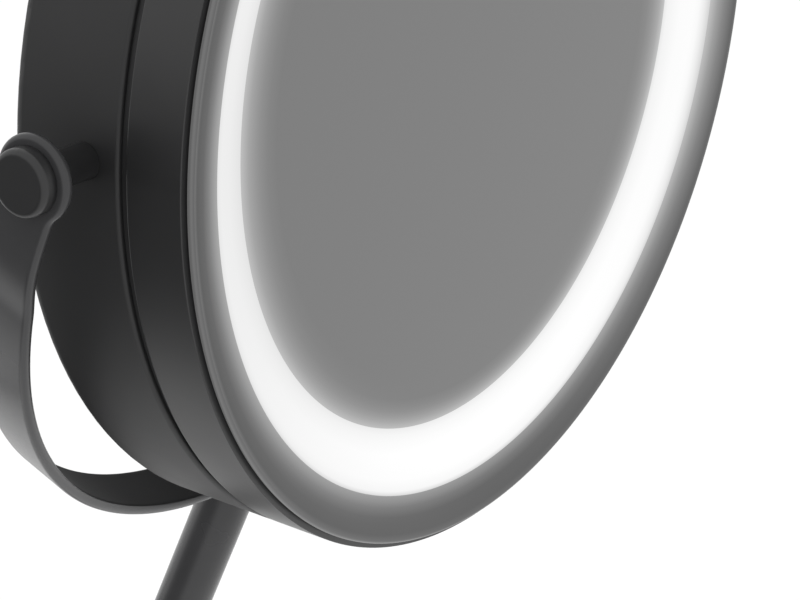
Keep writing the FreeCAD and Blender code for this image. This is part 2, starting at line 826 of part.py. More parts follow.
pivot_sides = []
for side in (-1, 1):
    pivot_sides.append(Placement(HEAD_POINT, Rotation(Vector(0, 1, 0), 90 * side)))
washers = []
for place in pivot_sides:
    start = size("fork_radius") - size("running_gap") - size("pivot_washer_thick")
    spot = place.multiply(Placement(Vector(0, 0, start.value), Rotation()))
    washer = doc.addObject("Part::Cut", "Washer")
    washer.Base = loose_solid(
        "Cylinder", spot, Radius=size("pivot_washer_radius"), Height=size("pivot_washer_thick")
    )
    washer.Tool = loose_solid(
        "Cylinder",
        spot,
        Radius=size("pivot_bolt_radius") + size("running_gap") * 2,
        Height=size("pivot_washer_thick"),
    )
    washers.append(washer)
group("pivot_washers", washers)

# ---------------------------------------------------------------- mirror head

# Each piece is turned about the mirror's axis, with +Z towards the viewer and +Y up.

bezel_ring = turned_body(
    "bezel_ring",
    HEAD,
    [
        (size("lip_radius"), size("bezel_base")),
        (size("bezel_skirt"), size("bezel_base")),
        (size("bezel_skirt"), size("bezel_underside")),
        (size("bezel_radius"), size("bezel_underside")),
        (size("bezel_radius"), size("bezel_crest")),
        (size("lip_radius"), size("lip_height")),
    ],
)
round_edges(bezel_ring, size("bezel_edge_round"), ring_edge(size("bezel_radius"), size("bezel_crest")))

band_flange_top = size("band_base") + size("band_flange_thick")
frame_ring = turned_body(
    "frame_ring",
    HEAD,
    [
        (size("band_flange_inner"), size("band_base")),
        (size("drum_radius"), size("band_base")),
        (size("drum_radius"), size("band_top")),
        (size("band_inner"), size("band_top")),
        (size("band_inner"), band_flange_top),
        (size("band_flange_inner"), band_flange_top),
    ],
)
round_edges(frame_ring, size("groove_edge_round"), ring_edge(size("drum_radius"), size("band_base")))
round_edges(frame_ring, size("band_edge_round"), ring_edge(size("drum_radius"), size("band_top")))
post_x = size("shell_post_circle") * math.sqrt(0.5)
sketch = new_sketch(frame_ring, "XY_Plane")
draw_circle(sketch, size("shell_screw_radius"), (post_x, post_x))
repeat_round(frame_ring, cut(frame_ring, sketch), 4)

rear = -size("shell_back")
rear_inside = rear + size("shell_wall")
shell_inner = size("drum_radius") - size("shell_wall")
lip_top = size("band_base") - size("running_gap")
rear_shell = turned_body(
    "rear_shell",
    HEAD,
    [
        (ZERO, rear),
        (size("drum_radius"), rear),
        (size("drum_radius"), size("shell_top")),
        (size("drum_radius") - size("groove_depth"), size("shell_top")),
        (size("drum_radius") - size("groove_depth"), lip_top),
        (shell_inner, lip_top),
        (shell_inner, rear_inside),
        (ZERO, rear_inside),
    ],
)
round_edges(rear_shell, size("shell_edge_round"), ring_edge(size("drum_radius"), rear))
round_edges(rear_shell, size("groove_edge_round"), ring_edge(size("drum_radius"), size("shell_top")))
boss_start = rear_inside - size("joining_overlap")
sketch = new_sketch(rear_shell, "XY_Plane", boss_start)
draw_circle(sketch, size("shell_post_radius"), (post_x, post_x))
post = pad(rear_shell, sketch, size("channel_floor") - size("body_gap") * 2 - boss_start)
repeat_round(rear_shell, post, 4)
sketch = new_sketch(rear_shell, "XY_Plane")
draw_circle(sketch, size("shell_screw_radius") + size("running_gap") * 2, (post_x, post_x))
repeat_round(rear_shell, cut(rear_shell, sketch), 4)
sketch = new_sketch(rear_shell, "XY_Plane", rear)
draw_circle(sketch, size("shell_screw_head") + size("button_gap"), (post_x, post_x))
repeat_round(rear_shell, cut(rear_shell, sketch, size("shell_screw_sink"), backwards=True), 4)
sketch = new_sketch(rear_shell, "YZ_Plane")
draw_circle(sketch, size("spacer_plug_radius") + size("running_gap") * 2)
cut(rear_shell, sketch)
board_spots = []
for x_side in (-1, 1):
    for y_side in (-1, 1):
        x = (size("board_width") * 0.5 - size("board_hole_inset")) * x_side
        y = (size("board_height") * 0.5 - size("board_hole_inset")) * y_side - size("board_centre")
        board_spots.append((x, y))
sketch = new_sketch(rear_shell, "XY_Plane", boss_start)
for spot in board_spots:
    draw_circle(sketch, size("board_boss_radius"), spot)
pad(rear_shell, sketch, -size("board_back") - boss_start)
sketch = new_sketch(rear_shell, "XY_Plane", -size("board_back"))
for spot in board_spots:
    draw_circle(sketch, size("board_screw_radius"), spot)
cut(rear_shell, sketch, size("pilot_depth"))
through = size("shell_wall") + size("through_reach")
sketch = new_sketch(rear_shell, "XY_Plane", rear)
draw_circle(sketch, size("button_radius") + size("button_gap"), (ZERO, -size("button_centre")))
cut(rear_shell, sketch, through, backwards=True)
sketch = new_sketch(rear_shell, "XY_Plane", rear)
draw_box(sketch, size("socket_slot_width"), size("socket_slot_height"), (ZERO, -size("socket_centre")))
cut(rear_shell, sketch, through, backwards=True)

shell_screws = []
for step in range(4):
    angle = math.radians(45 + 90 * step)
    radius = SIZES["shell_post_circle"]
    seat = SIZES["shell_screw_sink"] - SIZES["shell_back"]
    spot = Vector(radius * math.cos(angle), radius * math.sin(angle), seat)
    place = HEAD.multiply(Placement(spot, Rotation(Vector(1, 0, 0), 180)))
    length = size("shell_back") - size("shell_screw_sink") + band_flange_top
    shell_screws.append(
        round_screw(
            place,
            size("shell_screw_radius"),
            length,
            size("shell_screw_head"),
            size("shell_screw_head_thick"),
        )
    )
group("shell_screws", shell_screws)

glass_back = size("glass_face") - size("glass_thick")
mirror_glass = plain_disc("mirror_glass", HEAD, size("glass_radius"), glass_back, size("glass_face"))
glass_edge = ring_edge(size("glass_radius"), size("glass_face"))
round_edges(mirror_glass, size("glass_chamfer"), glass_edge, chamfer=True)
tape_back = glass_back - size("tape_thick")
tape_outer = size("glass_radius") - size("light_thick")
plain_ring("glass_tape", HEAD, tape_outer, size("tape_inner"), tape_back, glass_back)
light_back = size("glass_face") - size("light_thick")
turned_body(
    "light_ring",
    HEAD,
    [
        (size("light_inner"), light_back),
        (size("light_outer"), light_back),
        (size("light_outer"), size("glass_face")),
        (size("light_edge"), size("glass_face")),
        (size("light_edge"), size("glass_face") + size("light_rise")),
        (size("light_inner"), size("glass_face")),
    ],
)

plate_top = tape_back
plate_low = tape_back - size("tray_wall")
floor_top = size("channel_floor") + size("tray_wall")
flange_low = band_flange_top + size("stack_gap")
light_seat = light_back - size("stack_gap")
carrier_tray = turned_body(
    "carrier_tray",
    HEAD,
    [
        (ZERO, plate_low),
        (size("channel_inner"), plate_low),
        (size("channel_inner"), size("channel_floor")),
        (size("channel_outer"), size("channel_floor")),
        (size("channel_outer"), flange_low),
        (size("tray_flange_radius"), flange_low),
        (size("tray_flange_radius"), light_seat),
        (size("channel_outer") - size("tray_wall"), light_seat),
        (size("channel_outer") - size("tray_wall"), floor_top),
        (size("channel_inner") + size("tray_wall"), floor_top),
        (size("channel_inner") + size("tray_wall"), plate_top),
        (ZERO, plate_top),
    ],
)

board_inner = size("channel_inner") + size("tray_wall") + size("led_board_gap")
board_outer = size("channel_outer") - size("tray_wall") - size("led_board_gap")
board_top = floor_top + size("led_board_thick")
plain_ring("led_board", HEAD, board_outer, board_inner, floor_top, board_top)
chips = []
led_circle = (board_inner.value + board_outer.value) / 2
for step in range(int(SIZES["led_count"])):
    turn_by = Rotation(Vector(0, 0, 1), 360 * step / SIZES["led_count"])
    corner = Vector(led_circle - SIZES["chip_length"] / 2, -SIZES["chip_width"] / 2, board_top.value)
    place = HEAD.multiply(Placement(turn_by.multVec(corner), turn_by))
    chip = loose_solid(
        "Box", place, Length=size("chip_length"), Width=size("chip_width"), Height=size("chip_thick")
    )
    chips.append(chip)
group("led_chips", chips)

# ---------------------------------------------------------------- tilt pivots

blocks = []
spacers = []
pivot_bolts = []
for side, place in zip((-1, 1), pivot_sides):
    block = doc.addObject("Part::Cut", "Block")
    block_start = SIZES["block_inner"] if side > 0 else -SIZES["block_outer"]
    corner = Vector(block_start, -SIZES["block_width"] / 2, SIZES["block_rear"])
    block.Base = loose_solid(
        "Box",
        HEAD.multiply(Placement(corner, Rotation())),
        Length=size("block_outer") - size("block_inner"),
        Width=size("block_width"),
        Height=size("block_depth"),
    )
    block.Tool = loose_solid("Cylinder", place, Radius=size("pivot_bolt_radius"), Height=size("drum_radius"))
    blocks.append(block)

    spacer_start = size("drum_radius") + size("running_gap")
    spacer_end = size("fork_radius") - size("pivot_washer_thick") - size("running_gap") - size("body_gap")
    sleeve_place = place.multiply(Placement(Vector(0, 0, spacer_start.value), Rotation()))
    plug_place = place.multiply(Placement(Vector(0, 0, SIZES["block_outer"]), Rotation()))
    sleeve = loose_solid("Cylinder", sleeve_place, Radius=size("spacer_radius"), Height=spacer_end - spacer_start)
    plug_length = spacer_start - size("block_outer") + size("joining_overlap")
    plug = loose_solid("Cylinder", plug_place, Radius=size("spacer_plug_radius"), Height=plug_length)
    whole = doc.addObject("Part::Fuse", "Sleeve")
    whole.Base = sleeve
    whole.Tool = plug
    spacer = doc.addObject("Part::Cut", "Spacer")
    spacer.Base = whole
    spacer.Tool = loose_solid("Cylinder", place, Radius=size("pivot_bolt_radius"), Height=fork_outer)
    spacers.append(spacer)

    head_start = fork_outer + size("body_gap")
    shank_place = place.multiply(Placement(Vector(0, 0, SIZES["block_inner"]), Rotation()))
    head_place = place.multiply(Placement(Vector(0, 0, head_start.value), Rotation()))
    shank = loose_solid(
        "Cylinder",
        shank_place,
        Radius=size("pivot_bolt_radius"),
        Height=head_start - size("block_inner") + size("joining_overlap"),
    )
    disc = loose_solid(
        "Cylinder", head_place, Radius=size("pivot_head_radius"), Height=size("pivot_head_thick")
    )
    rounded = doc.addObject("Part::Fillet", "Head")
    rounded.Base = disc
    doc.recompute()
    rim = next(
        number
        for number, edge in enumerate(disc.Shape.Edges, start=1)
        if edge.Closed and place.inverse().multVec(edge.CenterOfMass).z > head_start.value + SIZES["pivot_head_thick"] / 2
    )
    rounded.Edges = [(rim, SIZES["pivot_head_round"], SIZES["pivot_head_round"])]
    bolt = doc.addObject("Part::Fuse", "Bolt")
    bolt.Base = rounded
    bolt.Tool = shank
    pivot_bolts.append(bolt)
group("pivot_blocks", blocks)
group("pivot_spacers", spacers)
group("pivot_bolts", pivot_bolts)

# ---------------------------------------------------------------- driver board, battery and switch

driver_board = new_body("driver_board", HEAD)
sketch = new_sketch(driver_board, "XY_Plane", -size("board_back"))
draw_box(sketch, size("board_width"), size("board_height"), (ZERO, -size("board_centre")))
for spot in board_spots:
    draw_circle(sketch, size("board_screw_radius") + size("running_gap") * 2, spot)
pad(driver_board, sketch, size("board_thick"))

board_face = SIZES["board_thick"] - SIZES["board_back"]
board_screws = []
for x, y in board_spots:
    place = HEAD.multiply(Placement(Vector(x.value, y.value, board_face), Rotation()))
    board_screws.append(
        round_screw(
            place,
            size("board_screw_radius"),
            size("board_thick") + size("board_screw_bite"),
            size("board_screw_head"),
            size("board_screw_head_thick"),
        )
    )
group("board_screws", board_screws)


def on_board(x, y):
    """A place on the board's front face, from the middle of the board."""
    return HEAD.multiply(Placement(Vector(x, y - SIZES["board_centre"], board_face), Rotation()))


coil = loose_solid(
    "Cylinder", on_board(-20, 2), Radius=size("coil_radius"), Height=size("coil_height")
)
capacitors = [
    loose_solid("Cylinder", on_board(x, 6), Radius=size("capacitor_radius"), Height=size("capacitor_height"))
    for x in (-7, 2)
]
chip = loose_solid(
    "Box",
    on_board(-6, -9),
    Length=size("chip_length"),
    Width=size("chip_width"),
    Height=size("chip_thick"),
)
charger = loose_solid(
    "Box",
    on_board(12, -8),
    Length=size("charger_length"),
    Width=size("charger_width"),
    Height=size("charger_thick"),
)
group("driver_parts", [coil, *capacitors, chip, charger])

tactile_switch = new_body("tactile_switch", HEAD)
sketch = new_sketch(tactile_switch, "XY_Plane", -size("board_back"))
draw_box(sketch, size("switch_width"), size("switch_width"), (ZERO, -size("button_centre")))
pad(tactile_switch, sketch, size("switch_thick"), backwards=True)

charge_socket = new_body("charge_socket", HEAD)
socket_spot = (ZERO, -size("socket_centre"))
socket_mouth = rear + size("socket_inset")
sketch = new_sketch(charge_socket, "XY_Plane", -size("board_back"))
draw_box(sketch, size("socket_width"), size("socket_height"), socket_spot)
pad(charge_socket, sketch, -size("board_back") - socket_mouth, backwards=True)
sketch = new_sketch(charge_socket, "XY_Plane", socket_mouth)
opening_width = size("socket_width") - size("socket_wall") * 2
opening_height = size("socket_height") - size("socket_wall") * 2
draw_box(sketch, opening_width, opening_height, socket_spot)
cut(charge_socket, sketch, size("socket_depth"), backwards=True)
sketch = new_sketch(charge_socket, "XY_Plane", socket_mouth + size("socket_wall") * 2)
draw_box(sketch, size("tongue_width"), size("tongue_height"), socket_spot)
pad(charge_socket, sketch, size("tongue_length"))

button_low = rear - size("button_proud")
flange_start = rear_inside + size("stack_gap")
switch_button = new_body("switch_button", HEAD)
sketch = new_sketch(switch_button, "XY_Plane", button_low)
draw_circle(sketch, size("button_radius"), (ZERO, -size("button_centre")))
pad(switch_button, sketch, size("shell_wall") + size("button_proud") + size("joining_overlap"))
sketch = new_sketch(switch_button, "XY_Plane", flange_start)
draw_circle(sketch, size("button_radius") + size("button_flange"), (ZERO, -size("button_centre")))
pad(switch_button, sketch, size("button_flange_thick"))
round_edges(switch_button, size("button_edge_round"), ring_edge(size("button_radius"), button_low))

cell_level = rear_inside.value + SIZES["holder_floor"] + SIZES["stack_gap"] + SIZES["cell_radius"]
cells = []
for side in (-1, 1):
    y = SIZES["battery_centre"] + side * SIZES["cell_pitch"] / 2
    spot = Vector(-SIZES["cell_length"] / 2, y, cell_level)
    place = HEAD.multiply(Placement(spot, Rotation(Vector(0, 1, 0), 90)))
    cells.append(loose_solid("Cylinder", place, Radius=size("cell_radius"), Height=size("cell_length")))
group("battery_cells", cells)

battery_holder = new_body("battery_holder", HEAD)
centre = (ZERO, size("battery_centre"))
sketch = new_sketch(battery_holder, "XY_Plane", rear_inside)
holder_length = size("cell_length") + size("holder_end") * 2
holder_width = size("cell_pitch") * 2 + size("holder_side") * 2
draw_box(sketch, holder_length, holder_width, centre)
pad(battery_holder, sketch, size("holder_height"))
sketch = new_sketch(battery_holder, "XY_Plane", rear_inside + size("holder_floor"))
draw_box(sketch, size("cell_length") + size("cell_clearance") * 2, size("cell_pitch") * 2, centre)
cut(battery_holder, sketch, size("holder_height"), backwards=True)

# ---------------------------------------------------------------- check and export

doc.recompute()
for item in doc.Objects:
    if "Invalid" in item.State or "Error" in item.State:
        raise RuntimeError(f"{item.Label} failed: {item.State}")
for item in sub_parts:
    if item.Shape.isNull() or not item.Shape.isValid():
        raise RuntimeError(f"{item.Label} has no valid shape")

os.makedirs("parts", exist_ok=True)
for item in sub_parts:
    item.Shape.exportStep(f"parts/{item.Label}.step")
    print(item.Label, len(item.Shape.Solids), "solids", round(item.Shape.Volume), "mm3")
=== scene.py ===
import json
import math

import bmesh
import bpy
from mathutils import Matrix, Vector


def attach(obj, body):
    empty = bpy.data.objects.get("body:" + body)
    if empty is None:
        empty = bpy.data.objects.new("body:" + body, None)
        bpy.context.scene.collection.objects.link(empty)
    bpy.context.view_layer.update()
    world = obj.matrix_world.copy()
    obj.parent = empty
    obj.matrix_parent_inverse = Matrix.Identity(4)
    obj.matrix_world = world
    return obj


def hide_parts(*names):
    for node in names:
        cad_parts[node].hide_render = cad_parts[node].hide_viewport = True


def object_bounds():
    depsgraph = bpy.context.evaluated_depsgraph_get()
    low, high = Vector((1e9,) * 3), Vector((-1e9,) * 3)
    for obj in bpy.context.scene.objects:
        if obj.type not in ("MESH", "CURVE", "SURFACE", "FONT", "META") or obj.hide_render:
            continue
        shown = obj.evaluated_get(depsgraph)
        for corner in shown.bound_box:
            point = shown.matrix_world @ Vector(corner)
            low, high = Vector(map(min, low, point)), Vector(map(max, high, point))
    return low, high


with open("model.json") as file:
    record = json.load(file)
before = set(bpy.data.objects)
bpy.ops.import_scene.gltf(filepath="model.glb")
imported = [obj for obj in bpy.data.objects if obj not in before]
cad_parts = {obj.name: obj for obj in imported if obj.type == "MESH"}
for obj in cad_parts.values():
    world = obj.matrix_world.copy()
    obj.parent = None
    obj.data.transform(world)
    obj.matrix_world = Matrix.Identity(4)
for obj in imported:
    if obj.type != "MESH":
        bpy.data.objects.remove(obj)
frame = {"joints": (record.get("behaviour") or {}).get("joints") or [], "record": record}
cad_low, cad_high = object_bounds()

MM = 0.001

# ---------------------------------------------------------------- places from the frame, in metres

joints = {joint["name"]: joint for joint in frame["joints"]}
HEAD_PIVOT = Vector(joints["mirror_tilt"]["pos_m"])
STEM_PIVOT = Vector(joints["stem_tilt"]["pos_m"])
VIEWER_WARD = Vector(joints["button_press"]["axis"])
ACROSS = Vector((1, 0, 0))


def place_along(origin, axis):
    """A place whose Z runs along axis and whose X is the row's own X."""
    axis = axis.normalized()
    turned = Matrix((ACROSS, axis.cross(ACROSS), axis)).transposed()
    return Matrix.Translation(origin) @ turned.to_4x4()


# In HEAD, Z runs from the tilt axis towards the viewer. In STEM, -Z runs down the stem.
HEAD = place_along(HEAD_PIVOT, VIEWER_WARD)
STEM = place_along(HEAD_PIVOT, HEAD_PIVOT - STEM_PIVOT)

# Sizes of the head, in millimetres. Heights are along Z in HEAD.
LIP_RADIUS = 94.7
LIP_HEIGHT = 22.1
GLASS_RADIUS = 81.2
GLASS_FACE = 16.9
GLASS_THICK = 4.0
GLASS_CHAMFER = 0.05
BEZEL_RADIUS = 104.7
BEZEL_CREST = 24.45
BEZEL_UNDERSIDE = 23.6
BEZEL_SKIRT = 102.6
BEZEL_BASE = 17.2
BEZEL_STEP_RADIUS = 104.5
BEZEL_STEP_LOW = 23.0
BEZEL_STEP_TOP = 23.5
DRUM_RADIUS = 106.0
BAND_INNER = 103.0
BAND_FLANGE_INNER = 97.2
BAND_FLANGE_TOP = 11.3
BAND_BASE = 9.3
BAND_TOP = 22.7
GROOVE_FLOOR = 104.6
GROOVE_TOP = 9.75
LIGHT_OUTER = 96.8
LIGHT_EDGE = 94.65
LIGHT_TOP = 22.05
LIGHT_BACK = 13.9

# Sizes of the fork and the stem, in millimetres.
FORK_RADIUS = 118.2
FORK_THICK = 2.5
FORK_WIDTH = 13.2
FORK_EDGE_ROUND = 1.1
FORK_END_RADIUS = 8.5
FORK_NECK_ROUND = 5.0
FORK_STRAIGHT_FROM = 30.0
FORK_STRAIGHT_BLEND = 20.0
STEM_RADIUS = 6.6
STEM_WALL = 1.5
STEM_LOW = -210.0
STEM_BEAD = 1.4

# ---------------------------------------------------------------- camera

VIEW_AZIMUTH = math.radians(-55.25)
VIEW_ELEVATION = math.radians(19.88)
VIEW_DISTANCE = 5.78 * LIP_RADIUS * MM
AIM_RIGHT = 0.2184 * LIP_RADIUS * MM
AIM_UP = 0.5247 * LIP_RADIUS * MM
LENS = 117.0
SENSOR_WIDTH = 36.0


def make_camera():
    back = Vector((
        math.sin(VIEW_AZIMUTH) * math.cos(VIEW_ELEVATION),
        -math.cos(VIEW_AZIMUTH) * math.cos(VIEW_ELEVATION),
        math.sin(VIEW_ELEVATION),
    ))
    right = Vector((0, 0, 1)).cross(back).normalized()
    up = back.cross(right)
    data = bpy.data.cameras.new("Camera")
    data.sensor_width = SENSOR_WIDTH
    data.lens = LENS
    camera = bpy.data.objects.new("Camera", data)
    bpy.context.scene.collection.objects.link(camera)
    lip_centre = HEAD @ Vector((0, 0, LIP_HEIGHT * MM))
    camera.location = lip_centre + back * VIEW_DISTANCE - right * AIM_RIGHT - up * AIM_UP
    camera.rotation_mode = "QUATERNION"
    camera.rotation_quaternion = Matrix((right, up, back)).transposed().to_quaternion()
    bpy.context.scene.camera = camera


# ---------------------------------------------------------------- shapes, in millimetres


def new_piece(name, verts, faces, place, body, replaced=(), sharp=35.0):
    """A smooth-shaded piece, sharp only at edges over a given angle, that rides on a CAD body."""
    mesh = bpy.data.meshes.new(name)
    mesh.from_pydata([Vector(v) * MM for v in verts], [], faces)
    mesh.validate()
    shape = bmesh.new()
    shape.from_mesh(mesh)
    bmesh.ops.recalc_face_normals(shape, faces=shape.faces)
    shape.to_mesh(mesh)
    shape.free()
    mesh.shade_smooth()
    mesh.set_sharp_from_angle(angle=math.radians(sharp))
    piece = bpy.data.objects.new(name, mesh)
    bpy.context.scene.collection.objects.link(piece)
    piece.matrix_world = place
    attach(piece, body)
    if replaced:
        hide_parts(*replaced)
    return piece


def rounded(corners, steps=8, closed=True):
    """A line through (x, y, radius) corners, each rounded, with a near point each side of every arc."""
    line = []
    count = len(corners)
    for i, (x, y, radius) in enumerate(corners):
        here = Vector((x, y))
        if not radius or (not closed and i in (0, count - 1)):
            line.append((x, y))
            continue
        before = Vector(corners[i - 1][:2]) - here
        after = Vector(corners[(i + 1) % count][:2]) - here
        before_length, after_length = before.length, after.length
        before.normalize()
        after.normalize()
        half = before.angle(after) / 2
        reach = radius / math.tan(half)
        support = 0.12 * min(radius, before_length - reach, after_length - reach)
        centre = here + (before + after).normalized() * (radius / math.sin(half))
        first = here + before * reach - centre
        last = here + after * reach - centre
        turn = math.pi - 2 * half
        side = math.copysign(1, first.x * last.y - first.y * last.x)
        if support > 0:
            line.append(tuple(here + before * (reach + support)))
        for step in range(steps + 1):
            angle = side * turn * step / steps
            cos, sin = math.cos(angle), math.sin(angle)
            line.append((centre.x + first.x * cos - first.y * sin, centre.y + first.x * sin + first.y * cos))
        if support > 0:
            line.append(tuple(here + after * (reach + support)))
    return line


def lathe(name, line, place, body, replaced=(), steps=288, closed=True):
    """Turns a line of (radius, height) points about Z: a closed one makes a ring, an open one a disc."""
    verts, faces, rows = [], [], []
    for radius, height in line:
        if not radius:
            rows.append([len(verts)] * steps)
            verts.append((0, 0, height))
            continue
        rows.append(range(len(verts), len(verts) + steps))
        for step in range(steps):
            angle = math.tau * step / steps
            verts.append((radius * math.cos(angle), radius * math.sin(angle), height))
    pairs = list(zip(rows, rows[1:]))
    if closed:
        pairs.append((rows[-1], rows[0]))
    for low, high in pairs:
        for step in range(steps):
            after = (step + 1) % steps
            face = list(dict.fromkeys((low[step], low[after], high[after], high[step])))
            if len(face) > 2:
                faces.append(face)
    return new_piece(name, verts, faces, place, body, replaced)


def tube_at_arc(name, place, radius, wall, low, arc, bead, body, replaced, steps=96):
    """A round tube down -Z whose top follows a cylinder of radius arc about Y, with a welded fillet there."""
    rows = []
    for step in range(13):
        angle = math.pi / 2 * step / 12
        rows.append((radius + bead * (1 - math.sin(angle)), bead * (1 - math.cos(angle))))
    rows.append((radius, bead * 1.3))
    verts, faces = [], []

    def ring(make):
        start = len(verts)
        for step in range(steps):
            angle = math.tau * step / steps
            verts.append(make(math.cos(angle), math.sin(angle)))
        return start

    def on_arc(reach, drop):
        def make(cos, sin):
            x = reach * cos
            return (x, reach * sin, -math.sqrt(arc * arc - x * x) - drop)
        return make

    starts = [ring(on_arc(radius - wall, 0.0))]
    starts += [ring(on_arc(reach, drop)) for reach, drop in rows]
    starts.append(ring(lambda cos, sin: (radius * cos, radius * sin, low)))
    starts.append(ring(lambda cos, sin: ((radius - wall) * cos, (radius - wall) * sin, low)))
    for first, second in zip(starts, starts[1:] + starts[:1]):
        for step in range(steps):
            after = (step + 1) % steps
            faces.append((first + step, second + step, second + after, first + after))
    return new_piece(name, verts, faces, place, body, replaced)


def strap_outline(length, width, end_radius, neck):
    """Half of a flat strap's outline from its middle to its end, as (along, half width) points."""
    half = width / 2
    drop = end_radius + neck
    touch = math.sqrt(drop * drop - (half + neck) ** 2)
    start = length - touch
    line = [(start * step / 150, half) for step in range(150)]
    turn = math.acos((half + neck) / drop)
    for step in range(9):
        angle = turn * step / 8
        line.append((start + neck * math.sin(angle), half + neck - neck * math.cos(angle)))
    first = math.pi / 2 + turn
    for step in range(1, 41):
        angle = first * (1 - step / 40)
        line.append((length + end_radius * math.cos(angle), end_radius * math.sin(angle)))
    return line


def fork_strap(name, place, radius, thick, width, edge, end_radius, body, replaced):
    """A half-round flat strap with round eyes at its ends, all its edges softly rounded."""
    quarter = math.pi / 2 * (radius + thick / 2)
    half = strap_outline(quarter, width, end_radius, FORK_NECK_ROUND)
    line = [(-along, across) for along, across in reversed(half[1:])] + half
    count = len(line)
    normals = []
    for i in range(count):
        back_along, back_across = line[max(i - 1, 0)]
        next_along, next_across = line[min(i + 1, count - 1)]
        normals.append(Vector((back_across - next_across, next_along - back_along)).normalized())
    normals[0], normals[-1] = Vector((-1, 0)), Vector((1, 0))
    section = []
    for step in range(7):
        angle = math.pi / 2 * step / 6
        section.append((edge * (1 - math.sin(angle)), thick / 2 - edge * (1 - math.cos(angle))))
    section = [(edge * 1.3, thick / 2)] + section
    section += [(inset, -level) for inset, level in reversed(section)]
    verts, faces, rows = [], [], []

    def bent(along, across, level):
        """Bends the flat strap round its arc, with a straight end round each eye."""
        from_eye = quarter - abs(along)
        angle = along / (radius + thick / 2)
        reach = radius + thick / 2 + level
        x, z = reach * math.sin(angle), -reach * math.cos(angle)
        flat = min(max((FORK_STRAIGHT_FROM - from_eye) / FORK_STRAIGHT_BLEND, 0.0), 1.0)
        flat = flat * flat * (3 - 2 * flat)
        straight_x = math.copysign(reach, along)
        x += (straight_x - x) * flat
        return (x, across, z)

    for side in (1, -1):
        for inset, level in section:
            row = []
            for (along, across), normal in zip(line, normals):
                row.append(len(verts))
                moved = across - normal.y * inset
                verts.append(bent(along - normal.x * inset, side * max(moved, 0.0), level))
            rows.append(row)
    ring = rows[: len(section)] + list(reversed(rows[len(section):]))
    for first, second in zip(ring, ring[1:] + ring[:1]):
        for i in range(count - 1):
            faces.append((first[i], first[i + 1], second[i + 1], second[i]))
    return new_piece(name, verts, faces, place, body, replaced, sharp=50.0)


# ---------------------------------------------------------------- materials


class Nodes:
    """A material's node tree, with short calls to add and join nodes."""

    def __init__(self, name):
        self.material = bpy.data.materials.new(name)
        self.material.use_nodes = True
        self.tree = self.material.node_tree
        self.shader = self.tree.nodes["Principled BSDF"]
        self.place = self.add("ShaderNodeTexCoord").outputs["Object"]

    def set(self, **values):
        for name, value in values.items():
            self.shader.inputs[name.replace("_", " ")].default_value = value

    def add(self, kind, inputs=None, **properties):
        node = self.tree.nodes.new(kind)
        for name, value in properties.items():
            setattr(node, name, value)
        for name, value in (inputs or {}).items():
            if isinstance(value, bpy.types.NodeSocket):
                self.tree.links.new(value, node.inputs[name])
            else:
                node.inputs[name].default_value = value
        return node

    def link(self, output, name):
        self.tree.links.new(output, self.shader.inputs[name])

    def noise(self, scale, detail=2.0):
        inputs = {"Vector": self.place, "Scale": scale, "Detail": detail}
        return self.add("ShaderNodeTexNoise", inputs).outputs["Fac"]

    def spread(self, value, low, high):
        """Maps a value from 0 to 1 onto low to high."""
        inputs = {"Value": value, "To Min": low, "To Max": high}
        return self.add("ShaderNodeMapRange", inputs).outputs["Result"]

    def relief(self, scale, strength, depth=0.02):
        inputs = {"Height": self.noise(scale), "Strength": strength, "Distance": depth * MM}
        self.link(self.add("ShaderNodeBump", inputs).outputs["Normal"], "Normal")

    def mottled(self, colour, share, scale):
        """A base colour that drifts by a share of itself."""
        ramp = self.add("ShaderNodeValToRGB", {"Fac": self.noise(scale, 3.0)})
        for stop, factor in zip(ramp.color_ramp.elements, (1 - share, 1 + share)):
            stop.color = (*[channel * factor for channel in colour], 1.0)
        self.link(ramp.outputs["Color"], "Base Color")

    def radius(self):
        """The distance from the piece's own Z axis, in metres."""
        flat = self.add("ShaderNodeVectorMath", {0: self.place, 1: (1, 1, 0)}, operation="MULTIPLY")
        return self.add("ShaderNodeVectorMath", {0: flat.outputs[0]}, operation="LENGTH").outputs["Value"]

    def graded(self, value, points):
        """Greys that change with a length, from (millimetres, grey) points."""
        low, high = points[0][0] * MM, points[-1][0] * MM
        share = self.add("ShaderNodeMapRange", {"Value": value, "From Min": low, "From Max": high})
        ramp = self.add("ShaderNodeValToRGB", {"Fac": share.outputs["Result"]})
        stops = ramp.color_ramp.elements
        while len(stops) < len(points):
            stops.new(0.5)
        for stop, (length, grey) in zip(stops, points):
            stop.position = (length * MM - low) / (high - low)
            stop.color = (grey, grey, grey, 1.0)
        return ramp.outputs["Color"]

    def around(self, left, ends, right):
        """Blends three radial gradings: to the left, at the top and bottom, and to the right of the axis."""
        flat = self.add("ShaderNodeVectorMath", {0: self.place, 1: (1, 1, 0)}, operation="MULTIPLY")
        turned = self.add("ShaderNodeVectorMath", {0: flat.outputs[0]}, operation="NORMALIZE")
        across = self.add("ShaderNodeSeparateXYZ", {"Vector": turned.outputs[0]}).outputs["X"]
        total = None
        for points, low, high in ((left, 0.0, -1.0), (right, 0.0, 1.0)):
            span = {"Value": across, "From Min": low, "From Max": high}
            share = self.add("ShaderNodeMapRange", span).outputs["Result"]
            weight = self.add("ShaderNodeMath", {0: share, 1: share}, operation="MULTIPLY").outputs[0]
            start = self.graded(self.radius(), ends) if total is None else total
            mix = self.add("ShaderNodeMix", {"Factor": weight}, data_type="RGBA")
            self.tree.links.new(start, mix.inputs[6])
            self.tree.links.new(self.graded(self.radius(), points), mix.inputs[7])
            total = mix.outputs[2]
        return total


